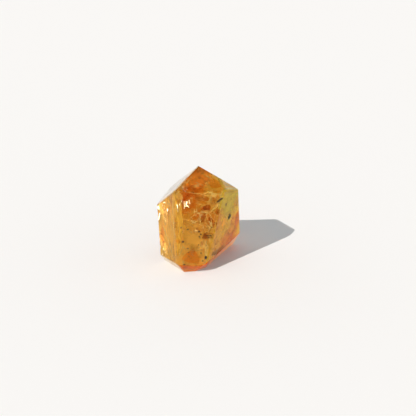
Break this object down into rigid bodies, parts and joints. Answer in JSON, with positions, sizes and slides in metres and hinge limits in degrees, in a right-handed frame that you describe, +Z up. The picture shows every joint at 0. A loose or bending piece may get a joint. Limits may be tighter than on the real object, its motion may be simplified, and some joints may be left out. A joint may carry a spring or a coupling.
{
  "type": "citrine crystal point",
  "caption": "Free-standing citrine crystal point: a polished prism of clear yellow-orange quartz with a faceted tip, standing on a flat ground base.",
  "frame": {"origin": "on the surface it stands on, under the middle of the crystal's length and width", "axes": "+Z up, from the flat base to the point; -Y towards the viewer, facing the widest prism face; +X to the viewer's right"},
  "size_m": [0.0368, 0.032, 0.0455],
  "materials": {
    "citrine": "polished transparent quartz, amber yellow to orange, with healed fractures and a few dark specks inside"
  },
  "bodies": {
    "root": {"crystal_point": "citrine"}
  },
  "joints": []
}
